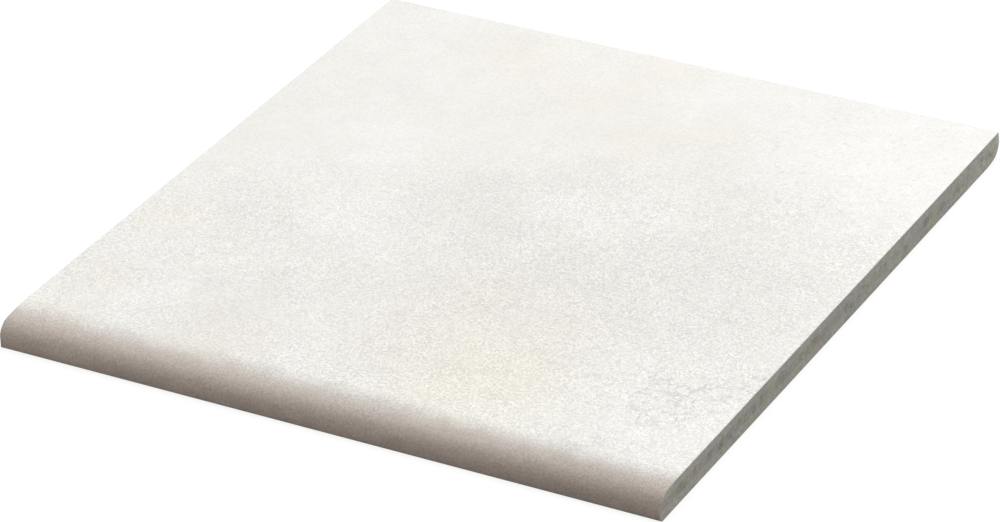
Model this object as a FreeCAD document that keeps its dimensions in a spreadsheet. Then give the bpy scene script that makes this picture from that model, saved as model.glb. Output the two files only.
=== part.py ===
# Bullnose stair tile: one pressed and fired slab with a rounded nose along its front edge.
# Millimetres. X runs along the nose, Y from the nose to the back, Z up from the floor.
# The origin is the middle of the footprint, on the plane that the underside rests on.

import FreeCAD, Part
import Sketcher
import math
import os

# The driving sizes, one row each: name, value in millimetres or degrees, what it is.
SIZES = [
    ("tile_width", 300.0, "along the nose"),
    ("tile_depth", 330.0, "from the front of the nose to the back face"),
    ("tile_thickness", 12.5, "from the underside to the walked face"),
    ("nose_radius", 6.0, "tight round at the front of the nose"),
    ("nose_easing_radius", 120.0, "slow fall of the walked face before the tight round"),
    ("nose_easing_run", 18.0, "how far behind the front the slow fall starts"),
    ("heel_radius", 6.5, "tight round under the back edge"),
    ("heel_easing_radius", 50.0, "slow rise of the underside before the heel's tight round"),
    ("heel_easing_run", 15.0, "how far before the back the slow rise starts"),
    ("back_draft_angle", 11.0, "lean of the back face towards the nose, which frees the die"),
    ("arris_radius", 0.5, "eased edges of the glazed face"),
    ("foot_arris_radius", 0.3, "eased edges of the underside"),
    ("key_size", 33.0, "side of one square key recess at its mouth"),
    ("key_rib", 5.0, "rib left between two recesses"),
    ("key_corner_radius", 4.0, "round corners of a recess"),
    ("key_depth", 0.8, "how deep a recess goes into the underside"),
    ("key_draft_angle", 25.0, "slope of the recess walls, which lets the punch out"),
    ("key_edge_margin", 14.0, "least plain rim beside the recesses, at the two ends"),
    ("key_nose_margin", 14.0, "least plain rim behind the front of the nose"),
    ("key_heel_margin", 16.0, "least plain rim before the back face"),
]

# Lengths that follow from the driving sizes, as expressions on the sheet's cells.
KEY_PITCH = "(sizes.key_size + sizes.key_rib)"
KEY_ROOM_X = "(sizes.tile_width - 2 * sizes.key_edge_margin)"
KEY_ROOM_Y = "(sizes.tile_depth - sizes.key_nose_margin - sizes.key_heel_margin)"
KEY_COUNT_X = f"floor(({KEY_ROOM_X} + sizes.key_rib) / {KEY_PITCH})"
KEY_COUNT_Y = f"floor(({KEY_ROOM_Y} + sizes.key_rib) / {KEY_PITCH})"
KEY_SPAN_X = f"({KEY_COUNT_X} * {KEY_PITCH} - sizes.key_rib)"
KEY_SPAN_Y = f"({KEY_COUNT_Y} * {KEY_PITCH} - sizes.key_rib)"
# How far the first recess starts to the left of the origin and in front of it.
FIRST_KEY_LEFT = f"({KEY_SPAN_X} / 2)"
FIRST_KEY_FRONT = (
    f"(sizes.tile_depth / 2 - sizes.key_nose_margin - ({KEY_ROOM_Y} - {KEY_SPAN_Y}) / 2)"
)

# How a sketch names the two ends of a line or an arc, an arc's centre, its own origin and its own axis.
START, END, CENTRE = 1, 2, 3
ORIGIN_POINT = (-1, 1)
HORIZONTAL_AXIS = -1

# Two places closer than this are the same place.
TOUCH = 0.001


def make_sheet(doc):
    """The spreadsheet that holds every driving size under its own alias."""
    sheet = doc.addObject("Spreadsheet::Sheet", "sizes")
    for row, (name, value, meaning) in enumerate(SIZES, start=1):
        sheet.set(f"A{row}", name)
        sheet.set(f"B{row}", str(value))
        sheet.set(f"C{row}", meaning)
        sheet.setAlias(f"B{row}", name)
    doc.recompute()
    return sheet


def origin_feature(body, role):
    """The body's own origin plane or axis with that role."""
    return next(feature for feature in body.Origin.OriginFeatures if feature.Role == role)


def add_sketch(body, name, plane_role):
    """An empty sketch on one of the body's origin planes."""
    sketch = body.newObject("Sketcher::SketchObject", name)
    sketch.AttachmentSupport = [(origin_feature(body, plane_role), "")]
    sketch.MapMode = "FlatFace"
    return sketch


def bind(sketch, name, kind, places, value, expression):
    """Adds a named dimension to a sketch and ties it to the sheet."""
    index = sketch.addConstraint(Sketcher.Constraint(kind, *places, value))
    sketch.renameConstraint(index, name)
    sketch.setExpression(f"Constraints.{name}", expression)


def line(start, end):
    """A straight piece of a sketch."""
    return Part.LineSegment(FreeCAD.Vector(*start, 0), FreeCAD.Vector(*end, 0))


def arc(centre, radius, start_angle, end_angle):
    """An arc that runs anticlockwise between two angles in radians."""
    circle = Part.Circle(FreeCAD.Vector(*centre, 0), FreeCAD.Vector(0, 0, 1), radius)
    return Part.ArcOfCircle(circle, start_angle, end_angle)


def draw_section(body, sheet):
    """The tile's section: front, nose, slow fall, walked face, back, heel, slow rise and underside."""
    sketch = add_sketch(body, "section", "YZ_Plane")
    depth, height = sheet.tile_depth, sheet.tile_thickness
    nose, easing, run = sheet.nose_radius, sheet.nose_easing_radius, sheet.nose_easing_run
    heel, heel_easing = sheet.heel_radius, sheet.heel_easing_radius
    heel_run, draft = sheet.heel_easing_run, math.radians(sheet.back_draft_angle)
    front_at, back_at = -depth / 2, depth / 2
    # Two arcs touch where their centres line up, which fixes the height of each tight round's centre.
    rise = math.sqrt((easing - nose) ** 2 - (run - nose) ** 2)
    nose_centre = (front_at + nose, height - easing + rise)
    easing_centre = (front_at + run, height - easing)
    meet = math.atan2(rise, nose - run)
    shared = (
        nose_centre[0] + nose * math.cos(meet),
        nose_centre[1] + nose * math.sin(meet),
    )
    lift = math.sqrt((heel_easing - heel) ** 2 - (heel_run - heel) ** 2)
    heel_centre = (back_at - heel, heel_easing - lift)
    heel_easing_centre = (back_at - heel_run, heel_easing)
    heel_meet = math.atan2(-lift, heel_run - heel)
    back_foot = (heel_centre[0] + heel * math.cos(draft), heel_centre[1] + heel * math.sin(draft))
    back_top = (back_foot[0] - (height - back_foot[1]) * math.tan(draft), height)

    front = sketch.addGeometry(line((front_at, 0), (front_at, nose_centre[1])))
    round_over = sketch.addGeometry(arc(nose_centre, nose, meet, math.pi))
    slow_fall = sketch.addGeometry(arc(easing_centre, easing, math.pi / 2, meet))
    face = sketch.addGeometry(line((front_at + run, height), back_top))
    back = sketch.addGeometry(line(back_foot, back_top))
    under_round = sketch.addGeometry(arc(heel_centre, heel, heel_meet, draft))
    slow_rise = sketch.addGeometry(arc(heel_easing_centre, heel_easing, -math.pi / 2, heel_meet))
    underside = sketch.addGeometry(line((back_at - heel_run, 0), (front_at, 0)))

    for kind, places in [
        ("Tangent", (front, END, round_over, END)),
        ("Tangent", (round_over, START, slow_fall, END)),
        ("Tangent", (slow_fall, START, face, START)),
        ("Coincident", (face, END, back, END)),
        ("Tangent", (back, START, under_round, END)),
        ("Tangent", (under_round, START, slow_rise, END)),
        ("Tangent", (slow_rise, START, underside, START)),
        ("Coincident", (underside, END, front, START)),
        ("Vertical", (front,)),
        ("Horizontal", (face,)),
        ("Horizontal", (underside,)),
        ("PointOnObject", (front, START, HORIZONTAL_AXIS)),
    ]:
        sketch.addConstraint(Sketcher.Constraint(kind, *places))
    bind(sketch, "half_depth", "DistanceX", (front, START, *ORIGIN_POINT),
         depth / 2, "sizes.tile_depth / 2")
    bind(sketch, "depth_to_heel_centre", "DistanceX", (front, START, under_round, CENTRE),
         depth - heel, "sizes.tile_depth - sizes.heel_radius")
    bind(sketch, "thickness", "DistanceY", (front, START, face, START),
         height, "sizes.tile_thickness")
    bind(sketch, "easing_run", "DistanceX", (front, START, face, START),
         run, "sizes.nose_easing_run")
    bind(sketch, "nose_radius", "Radius", (round_over,), nose, "sizes.nose_radius")
    bind(sketch, "easing_radius", "Radius", (slow_fall,), easing, "sizes.nose_easing_radius")
    bind(sketch, "heel_radius", "Radius", (under_round,), heel, "sizes.heel_radius")
    bind(sketch, "heel_easing_radius", "Radius", (slow_rise,), heel_easing, "sizes.heel_easing_radius")
    bind(sketch, "flat_underside", "DistanceX", (front, START, underside, START),
         depth - heel_run, "sizes.tile_depth - sizes.heel_easing_run")
    bind(sketch, "back_lean", "Angle", (back,), math.pi / 2 + draft, "90 + sizes.back_draft_angle")
    return sketch


def press_slab(body, section):
    """The section carried along the whole nose, half to each side of the origin."""
    slab = body.newObject("PartDesign::Pad", "slab")
    slab.Profile = section
    slab.SideType = "Symmetric"
    slab.setExpression("Length", "sizes.tile_width")
    body.Document.recompute()
    return slab


def edge_names(shape, is_wanted, sheet):
    """Names of the shape's edges whose bounding box passes a test."""
    return [
        f"Edge{number}"
        for number, edge in enumerate(shape.Edges, start=1)
        if is_wanted(edge.BoundBox, sheet)
    ]


def is_glazed_arris(box, sheet):
    """Edges of the glazed face: down both ends as far as the nose's foot, and along the back."""
    if box.XLength < TOUCH:
        before_heel = sheet.tile_depth / 2 - sheet.heel_easing_run
        return box.YMin < before_heel - TOUCH and box.ZMax > TOUCH
    return box.YMin > 0 and box.ZMin > sheet.tile_thickness - TOUCH


def is_foot_arris(box, sheet):
    """Edges of the bare body: under both ends and the heel, and along the nose's foot."""
    if box.XLength < TOUCH:
        return box.ZMin < TOUCH
    return box.YMax < -sheet.tile_depth / 2 + sheet.nose_radius and box.ZMax < TOUCH


def ease(body, name, base, is_wanted, sheet, radius_cell):
    """Rounds those edges of the feature before it that pass the test."""
    easing = body.newObject("PartDesign::Fillet", name)
    easing.Base = (base, edge_names(base.Shape, is_wanted, sheet))
    easing.setExpression("Radius", f"sizes.{radius_cell}")
    body.Document.recompute()
    return easing


def draw_key(body, sheet):
    """The mouth of the first recess, at the front left: a square with round corners."""
    sketch = add_sketch(body, "key_mouth", "XY_Plane")
    size, corner = sheet.key_size, sheet.key_corner_radius
    left, front = -size, -size
    right, back = left + size, front + size
    sides = [
        sketch.addGeometry(line((left + corner, front), (right - corner, front))),
        sketch.addGeometry(line((right, front + corner), (right, back - corner))),
        sketch.addGeometry(line((right - corner, back), (left + corner, back))),
        sketch.addGeometry(line((left, back - corner), (left, front + corner))),
    ]
    quarter = math.pi / 2
    corners = [
        sketch.addGeometry(arc(centre, corner, (turn - 1) * quarter, turn * quarter))
        for turn, centre in enumerate([
            (right - corner, front + corner),
            (right - corner, back - corner),
            (left + corner, back - corner),
            (left + corner, front + corner),
        ])
    ]
    for turn in range(4):
        after = sides[(turn + 1) % 4]
        sketch.addConstraint(Sketcher.Constraint("Tangent", sides[turn], END, corners[turn], START))
        sketch.addConstraint(Sketcher.Constraint("Tangent", corners[turn], END, after, START))
        sketch.addConstraint(
            Sketcher.Constraint("Horizontal" if turn % 2 == 0 else "Vertical", sides[turn])
        )
    for other in corners[1:]:
        sketch.addConstraint(Sketcher.Constraint("Equal", corners[0], other))
    bottom_side, right_side, top_side, left_side = sides
    bind(sketch, "corner_radius", "Radius", (corners[0],), corner, "sizes.key_corner_radius")
    bind(sketch, "size_along_nose", "DistanceX", (left_side, START, right_side, START),
         size, "sizes.key_size")
    bind(sketch, "size_in_depth", "DistanceY", (bottom_side, START, top_side, START),
         size, "sizes.key_size")
    bind(sketch, "from_middle", "DistanceX", (left_side, START, *ORIGIN_POINT),
         -left, FIRST_KEY_LEFT)
    bind(sketch, "from_centre", "DistanceY", (bottom_side, START, *ORIGIN_POINT),
         -front, FIRST_KEY_FRONT)
    return sketch


def repeat(body, name, axis_role, count):
    """One direction of the recess pattern, a pitch apart along one of the body's axes."""
    pattern = body.newObject("PartDesign::LinearPattern", name)
    pattern.Direction = (origin_feature(body, axis_role), [""])
    pattern.Mode = "Spacing"
    pattern.setExpression("Offset", KEY_PITCH)
    pattern.setExpression("Occurrences", count)
    return pattern


def press_keys(body, mouth):
    """One drafted recess up into the underside, and its copies in rows and columns."""
    key = body.newObject("PartDesign::Pocket", "key")
    key.Profile = mouth
    key.Reversed = True
    key.setExpression("Length", "sizes.key_depth")
    key.setExpression("TaperAngle", "-sizes.key_draft_angle")
    body.Document.recompute()
    keys = body.newObject("PartDesign::MultiTransform", "keys")
    keys.Originals = [key]
    keys.Transformations = [
        repeat(body, "key_row", "X_Axis", KEY_COUNT_X),
        repeat(body, "key_column", "Y_Axis", KEY_COUNT_Y),
    ]
    body.Tip = keys
    body.Document.recompute()
    return keys


def build_tile(doc, sheet):
    """The whole tile, one body: pressed slab, eased edges, keyed underside."""
    body = doc.addObject("PartDesign::Body", "tile")
    body.Label = "bullnose_tile"
    slab = press_slab(body, draw_section(body, sheet))
    eased = ease(body, "glazed_arris", slab, is_glazed_arris, sheet, "arris_radius")
    ease(body, "foot_arris", eased, is_foot_arris, sheet, "foot_arris_radius")
    press_keys(body, draw_key(body, sheet))
    return body


def check(doc, bodies):
    """Stops the build if a feature has failed or a body isn't one sound solid."""
    for item in doc.Objects:
        if "Invalid" in item.State or "Error" in item.State:
            raise RuntimeError(f"{item.Name} failed: {item.State}")
    for body in bodies:
        shape = body.Shape
        if shape.isNull() or not shape.isValid() or len(shape.Solids) != 1:
            raise RuntimeError(f"{body.Label} isn't one valid solid")


def main():
    """Builds the document, checks it and writes one file for each body."""
    doc = FreeCAD.newDocument("bullnose_tile")
    sheet = make_sheet(doc)
    bodies = [build_tile(doc, sheet)]
    doc.recompute()
    check(doc, bodies)
    os.makedirs("parts", exist_ok=True)
    for body in bodies:
        body.Shape.exportStep(f"parts/{body.Label}.step")
        box = body.Shape.optimalBoundingBox(False, False)
        print(body.Label, "size", box.XLength, box.YLength, box.ZLength, "volume", body.Shape.Volume)


main()
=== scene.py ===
# %% [markdown]
# # A bullnose stair tile
# One pressed and fired slab: a flat walked face, a rounded nose along the front, bare ends and a keyed
# underside. The solid comes from the CAD frame, and this script makes what the eye meets: the fine
# relief of the face, the matte glaze that thins over the nose, with light and shade partly painted into
# its colours, and the bare fired body.

# %% Load the frame
import math

import bmesh
import bpy
import numpy as np
from mathutils import Matrix, Vector, noise


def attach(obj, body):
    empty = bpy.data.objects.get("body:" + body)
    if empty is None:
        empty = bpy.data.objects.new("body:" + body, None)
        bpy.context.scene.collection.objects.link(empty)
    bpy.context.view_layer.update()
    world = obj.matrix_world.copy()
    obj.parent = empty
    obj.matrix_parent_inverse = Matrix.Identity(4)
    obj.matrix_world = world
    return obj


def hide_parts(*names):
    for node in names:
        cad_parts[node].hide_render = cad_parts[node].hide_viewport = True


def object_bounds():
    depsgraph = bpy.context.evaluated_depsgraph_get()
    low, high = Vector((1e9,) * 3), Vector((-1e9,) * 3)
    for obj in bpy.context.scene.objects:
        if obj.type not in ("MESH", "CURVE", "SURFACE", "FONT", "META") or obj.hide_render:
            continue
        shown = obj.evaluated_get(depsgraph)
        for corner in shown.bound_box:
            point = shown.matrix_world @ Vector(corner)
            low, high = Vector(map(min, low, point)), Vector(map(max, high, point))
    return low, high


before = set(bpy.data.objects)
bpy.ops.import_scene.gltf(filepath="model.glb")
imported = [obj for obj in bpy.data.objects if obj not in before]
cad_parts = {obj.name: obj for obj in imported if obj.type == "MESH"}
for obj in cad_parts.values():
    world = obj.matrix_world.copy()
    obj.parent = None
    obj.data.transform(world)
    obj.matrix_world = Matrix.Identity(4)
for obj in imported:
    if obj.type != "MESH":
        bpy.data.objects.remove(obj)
cad_low, cad_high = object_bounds()
print("CAD box, metres:", [round(v, 4) for v in (*cad_low, *cad_high)])

# %% [markdown]
# ## Working in the tile's own millimetres
# Ceramic makers give every size in millimetres, so the shape is worked out in them and turned to metres
# once, at the end. The outer sizes are read from the CAD box and are never typed again.

# %% Outer sizes
MM = 0.001
HALF_WIDTH = cad_high.x / MM
FRONT = cad_low.y / MM
BACK = cad_high.y / MM
THICK = cad_high.z / MM
print(f"tile: {2 * HALF_WIDTH:.1f} wide, {BACK - FRONT:.1f} deep, {THICK:.1f} thick")

# %% [markdown]
# ## The section, as rounds and flats
# The press leaves a section of flats joined by rounds: the foot, the upright front, the tight round of the
# nose, a long slow fall from the walked face, a back that leans a little, and a heel with a tight round and
# a slow rise of its own. A flat and a round each give a row of points and the way out of the tile at each
# point. Keeping that outward direction is what later lets the edges be eased and the relief be pressed in,
# both along the same arrows.

# %% Sizes of the section
NOSE_RADIUS = 6.0
EASING_RADIUS = 120.0
EASING_RUN = 18.0
HEEL_RADIUS = 6.5
HEEL_EASING_RADIUS = 50.0
HEEL_EASING_RUN = 15.0
BACK_LEAN = 11.0
BACK_ARRIS = 0.5
FOOT_ARRIS = 0.3
print(f"nose: a round of {NOSE_RADIUS} into a fall of {EASING_RADIUS}")
print(f"heel: a round of {HEEL_RADIUS} into a rise of {HEEL_EASING_RADIUS}")


# %% Rounds and flats
def round_piece(centre, radius, start, end, steps):
    """Points and outward directions on an arc, its angles in degrees."""
    turn = np.radians(np.linspace(start, end, steps + 1))
    outward = np.column_stack([np.cos(turn), np.sin(turn)])
    return np.array(centre) + radius * outward, outward


def flat_piece(start, end, steps, outward):
    """Points and outward directions on a straight stretch."""
    share = np.linspace(0.0, 1.0, steps + 1)[:, None]
    points = np.array(start) * (1.0 - share) + np.array(end) * share
    return points, np.tile(np.array(outward, float), (steps + 1, 1))


def join_pieces(*pieces):
    """One side of the section: the pieces end to end, with their shared points kept once."""
    points = [pieces[0][0]] + [p[0][1:] for p in pieces[1:]]
    outward = [pieces[0][1]] + [p[1][1:] for p in pieces[1:]]
    return np.vstack(points), np.vstack(outward)


print("helpers for the section: a round, a flat, and both joined")

# %% [markdown]
# ## Where the rounds have their centres
# A round that runs smoothly into a slower one touches it where their centres and the meeting point lie on
# one line. That gives a right triangle between the two centres, so the height of the tight round follows
# from the two radii and the run of the slow one. The heel is worked out in the same way, upside down.

# %% Centres at the nose
rise = math.sqrt((EASING_RADIUS - NOSE_RADIUS) ** 2 - (EASING_RUN - NOSE_RADIUS) ** 2)
nose_centre = (FRONT + NOSE_RADIUS, THICK - EASING_RADIUS + rise)
easing_centre = (FRONT + EASING_RUN, THICK - EASING_RADIUS)
meet = math.degrees(math.atan2(rise, NOSE_RADIUS - EASING_RUN))
foot_centre = (FRONT + FOOT_ARRIS, FOOT_ARRIS)
print(f"nose round: {nose_centre[1]:.2f} above the floor, meets the slow fall at {meet:.1f} degrees")

# %% Centres at the heel and the leaning back
lift = math.sqrt((HEEL_EASING_RADIUS - HEEL_RADIUS) ** 2 - (HEEL_EASING_RUN - HEEL_RADIUS) ** 2)
heel_centre = (BACK - HEEL_RADIUS, HEEL_EASING_RADIUS - lift)
heel_easing_centre = (BACK - HEEL_EASING_RUN, HEEL_EASING_RADIUS)
heel_meet = -math.degrees(math.atan2(lift, HEEL_EASING_RUN - HEEL_RADIUS))

lean = math.radians(BACK_LEAN)
leaning_out = (math.cos(lean), math.sin(lean))
back_foot = tuple(c + HEEL_RADIUS * d for c, d in zip(heel_centre, leaning_out))
arris_height = THICK - BACK_ARRIS
arris_out = (BACK_ARRIS + (arris_height - back_foot[1]) * math.sin(lean)) / math.cos(lean)
back_arris_centre = (back_foot[0] - arris_out, arris_height)
back_top = tuple(c + BACK_ARRIS * d for c, d in zip(back_arris_centre, leaning_out))
print(f"heel round: {heel_centre[1]:.2f} above the floor, meets the slow rise at {heel_meet:.1f} degrees")

# %% [markdown]
# ## Four sides that share their corners
# A box of squares wraps round the section: a top, a bottom, a front and a back, which meet in the middle of
# each round. Four-sided patches with equal counts on facing sides can be filled with a plain grid, which
# gives even squares for the relief and no long thin slivers.

# %% How many squares each stretch gets
GRID_STEP = 1.25
NOSE_STEPS = 7
EASING_STEPS = 14
FRONT_STEPS = 4
BACK_FLAT_STEPS = 3
ARRIS_STEPS = 2
HEEL_RISE_STEPS = 8
HEEL_STEPS = 4

face_steps = round((back_arris_centre[0] - FRONT - EASING_RUN) / GRID_STEP)
top_steps = NOSE_STEPS + EASING_STEPS + face_steps + ARRIS_STEPS
rise_steps = ARRIS_STEPS + FRONT_STEPS + NOSE_STEPS
upper_heel_steps = rise_steps - BACK_FLAT_STEPS - ARRIS_STEPS
under_steps = top_steps - ARRIS_STEPS - HEEL_RISE_STEPS - HEEL_STEPS
print("squares over the top and under the tile:", top_steps, " up the front and the back:", rise_steps)

# %% The four sides of the section
# Angles turn from straight back, 0, over straight up, 90, to straight forward, 180.
NOSE_CORNER = 135
FOOT_CORNER = 225
HEEL_CORNER = -45
BACK_CORNER = 45 + BACK_LEAN / 2

top = join_pieces(
    round_piece(nose_centre, NOSE_RADIUS, NOSE_CORNER, meet, NOSE_STEPS),
    round_piece(easing_centre, EASING_RADIUS, meet, 90, EASING_STEPS),
    flat_piece((FRONT + EASING_RUN, THICK), (back_arris_centre[0], THICK), face_steps, (0, 1)),
    round_piece(back_arris_centre, BACK_ARRIS, 90, BACK_CORNER, ARRIS_STEPS),
)
front = join_pieces(
    round_piece(foot_centre, FOOT_ARRIS, FOOT_CORNER, 180, ARRIS_STEPS),
    flat_piece((FRONT, FOOT_ARRIS), (FRONT, nose_centre[1]), FRONT_STEPS, (-1, 0)),
    round_piece(nose_centre, NOSE_RADIUS, 180, NOSE_CORNER, NOSE_STEPS),
)
back = join_pieces(
    round_piece(heel_centre, HEEL_RADIUS, HEEL_CORNER, BACK_LEAN, upper_heel_steps),
    flat_piece(back_foot, back_top, BACK_FLAT_STEPS, leaning_out),
    round_piece(back_arris_centre, BACK_ARRIS, BACK_LEAN, BACK_CORNER, ARRIS_STEPS),
)
bottom = join_pieces(
    round_piece(foot_centre, FOOT_ARRIS, FOOT_CORNER, 270, ARRIS_STEPS),
    flat_piece((FRONT + FOOT_ARRIS, 0), (BACK - HEEL_EASING_RUN, 0), under_steps, (0, -1)),
    round_piece(heel_easing_centre, HEEL_EASING_RADIUS, -90, heel_meet, HEEL_RISE_STEPS),
    round_piece(heel_centre, HEEL_RADIUS, heel_meet, HEEL_CORNER, HEEL_STEPS),
)
print("points, top and bottom:", len(top[0]), len(bottom[0]), " front and back:", len(front[0]), len(back[0]))

# %% [markdown]
# ## Eased edges at the two ends
# Where the section stops, the real tile has an arris: a small round that glaze and fettling leave. It is
# about half a millimetre at the nose's right end, three times that at its left end, and a third of a
# millimetre along the walked face. Each point of the section therefore carries its own arris, and the last
# few columns of squares step in by it along a quarter circle. A bevel modifier would do it too, but only
# with one width for the whole edge.

# %% How wide the arris is at each point
LEFT_NOSE_ARRIS = 1.5
RIGHT_NOSE_ARRIS = 0.55
FACE_ARRIS = 0.35
BODY_ARRIS = 0.27
FOOT_END_ARRIS = 0.15
# The nose's arris narrows to the face's, and the foot's widens to the body's, between these two depths.
NOSE_TO_FACE = (4.0, 20.0)
FOOT_TO_BODY = (1.0, 6.0)


def arris_widths(nose_arris):
    """The arris at every point of the four sides, with the given width on the nose."""
    on_top = np.interp(top[0][:, 0] - FRONT, NOSE_TO_FACE, [nose_arris, FACE_ARRIS])
    on_front = np.interp(front[0][:, 1], [nose_centre[1], top[0][0, 1]], [FOOT_END_ARRIS, nose_arris])
    on_back = np.interp(back[0][:, 1], [heel_centre[1], arris_height], [BODY_ARRIS, FACE_ARRIS])
    on_bottom = np.interp(bottom[0][:, 0] - FRONT, FOOT_TO_BODY, [FOOT_END_ARRIS, BODY_ARRIS])
    return on_top, on_front, on_back, on_bottom


left_arrises = arris_widths(LEFT_NOSE_ARRIS)
right_arrises = arris_widths(RIGHT_NOSE_ARRIS)
print(f"arris on the nose: {left_arrises[0].max():.2f} left, {right_arrises[0].max():.2f} right")

# %% Columns from one end to the other
# Even columns fill the middle and stop this far from each end, where the quarter circle takes over.
END_ROOM = 1.8
END_STEPS = 3
inner_half = HALF_WIDTH - END_ROOM
inner = np.linspace(-inner_half, inner_half, round(2 * inner_half / GRID_STEP) + 1)
quarter = np.linspace(0.0, math.pi / 2, END_STEPS + 1)
column_count = len(inner) + 2 * len(quarter)
print("columns:", column_count)


# %% Carry a side from end to end
def carry(side, left_arris, right_arris):
    """A side carried from end to end: a grid of points and a grid of outward directions."""
    points, outward = side
    grid = np.zeros((column_count, len(points), 3))
    arrows = np.zeros_like(grid)
    for column in range(column_count):
        step = min(column, column_count - 1 - column)
        end, arris = (-1.0, left_arris) if column < column_count / 2 else (1.0, right_arris)
        turn = quarter[step] if step < len(quarter) else math.pi / 2
        inset = arris * (1.0 - math.sin(turn))
        if step < len(quarter):
            x = end * (HALF_WIDTH - arris * (1.0 - math.cos(turn)))
        else:
            x = np.full(len(points), inner[column - len(quarter)])
        grid[column, :, 0] = x
        grid[column, :, 1:] = points - outward * inset[:, None]
        arrows[column, :, 0] = end * math.cos(turn)
        arrows[column, :, 1:] = outward * math.sin(turn)
    return grid, arrows


top_grid, top_arrows = carry(top, left_arrises[0], right_arrises[0])
front_grid, front_arrows = carry(front, left_arrises[1], right_arrises[1])
back_grid, _ = carry(back, left_arrises[2], right_arrises[2])
bottom_grid, _ = carry(bottom, left_arrises[3], right_arrises[3])
print("points on the top:", top_grid.shape[0] * top_grid.shape[1])

# %% [markdown]
# ## The relief of the walked face
# A stone-look tile is pressed with a faint landscape: long swells, shallow dimples a few millimetres wide
# and a scatter of pits. It is real height, not paint, so it is pressed into the mesh along the outward
# arrows. It only ever goes inward, so the tile never grows past its CAD size, and it fades out at the edges.
# Grain finer than the squares is left to the bump of the glaze.

# %% Height of the relief
SWELL_DEPTH, SWELL_LENGTH = 0.10, 42.0
DIMPLE_DEPTH, DIMPLE_LENGTH = 0.07, 7.5
PIT_DEPTH, PIT_SPACING, PIT_WIDTH = 0.10, 19.0, 1.7
# The dimples are read elsewhere in the noise than the swells, and the pits all at one level of it.
DIMPLE_SHIFT = 311.0
PIT_LEVEL = 90.0


def relief(x, y, z):
    """How far the face is pressed in at a point, in millimetres."""
    swell = 0.5 + 0.5 * noise.noise(Vector((x, y, z)) / SWELL_LENGTH)
    dimple = 0.5 + 0.5 * noise.noise(Vector((x + DIMPLE_SHIFT, y, z)) / DIMPLE_LENGTH)
    distances = noise.voronoi(Vector((x, y, PIT_LEVEL)) / PIT_SPACING)[0]
    pit = max(0.0, 1.0 - distances[0] * PIT_SPACING / PIT_WIDTH)
    return SWELL_DEPTH * swell + DIMPLE_DEPTH * dimple + PIT_DEPTH * pit * pit


print(f"relief in the middle of the face: {relief(0.0, 0.0, THICK):.3f} mm")

# %% Press the relief in
EDGE_FADE = 2.5


def press_in(grid, arrows):
    """Moves a grid of points into the tile by the relief, less near its edges, and says how far at most."""
    deepest = 0.0
    for column in range(column_count):
        for row in range(grid.shape[1]):
            x, y, z = grid[column, row]
            to_edge = min(HALF_WIDTH - abs(x), back_arris_centre[0] - y, z - FOOT_ARRIS)
            fade = min(1.0, to_edge / EDGE_FADE)
            if fade > 0.0:
                depth = relief(x, y, z) * fade
                grid[column, row] -= arrows[column, row] * depth
                deepest = max(deepest, depth)
    return deepest


on_the_top = press_in(top_grid, top_arrows)
on_the_front = press_in(front_grid, front_arrows)
print(f"relief pressed in: up to {on_the_top:.2f} mm on the top, {on_the_front:.2f} mm on the front")

# %% [markdown]
# ## The two ends
# The ends are bare pressed clay. Each is one four-sided patch whose rim is the eased section, so a Coons
# patch fills it: every inner point is a blend of the four rim curves. The squares line up with the rest,
# and a very small roughness is pressed in, so that the clay isn't optically flat.


# %% Fill an end from its rim
def coons_patch(low_side, high_side, first_side, last_side):
    """A grid of points inside four rim curves that share their corners."""
    u = np.linspace(0.0, 1.0, len(low_side))[:, None, None]
    v = np.linspace(0.0, 1.0, len(first_side))[None, :, None]
    across = (1.0 - v) * low_side[:, None] + v * high_side[:, None]
    along = (1.0 - u) * first_side[None] + u * last_side[None]
    corners = (
        (1.0 - u) * (1.0 - v) * low_side[0] + u * (1.0 - v) * low_side[-1]
        + (1.0 - u) * v * high_side[0] + u * v * high_side[-1]
    )
    return across + along - corners


print("a rim of four sides can be filled")

# %% Two rough clay ends
CLAY_DEPTH, CLAY_LENGTH = 0.06, 3.2
# The roughness grows from nothing at the rim to its full depth over this many rows of squares.
RIM_ROWS = 3.0


def end_patch(column):
    """One end of the tile, roughened a little away from its rim."""
    patch = coons_patch(bottom_grid[column], top_grid[column], front_grid[column], back_grid[column])
    rows, levels = patch.shape[:2]
    inward = -1.0 if patch[0, 0, 0] > 0.0 else 1.0
    for row in range(1, rows - 1):
        for level in range(1, levels - 1):
            to_rim = min(row, rows - 1 - row, level, levels - 1 - level)
            fade = min(1.0, to_rim / RIM_ROWS)
            rough = 0.5 + 0.5 * noise.noise(Vector(patch[row, level]) / CLAY_LENGTH)
            patch[row, level, 0] += inward * CLAY_DEPTH * rough * fade
    return patch


left_end = end_patch(0)
right_end = end_patch(column_count - 1)
print("squares on one end:", (left_end.shape[0] - 1) * (left_end.shape[1] - 1))

# %% [markdown]
# ## The keyed underside
# The press stamps a grid of shallow round-cornered squares into the back so that the adhesive grips. Their
# sizes repeat those of the solid. Each key sits in its own square cell, so that a key is made once by a
# function and stamped by a loop. Two rows of points with unequal counts, such as a cell's edge and a key's
# rim, are sewn together with triangles, which stay flat because both rows lie in one plane.

# %% Sizes of the keys
KEY_SIZE = 33.0
KEY_RIB = 5.0
KEY_CORNER = 4.0
KEY_DEPTH = 0.8
KEY_DRAFT = 25.0
KEY_NOSE_MARGIN = 14.0
KEY_HEEL_MARGIN = 16.0
KEY_EDGE_MARGIN = 14.0
CORNER_STEPS = 6

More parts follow.
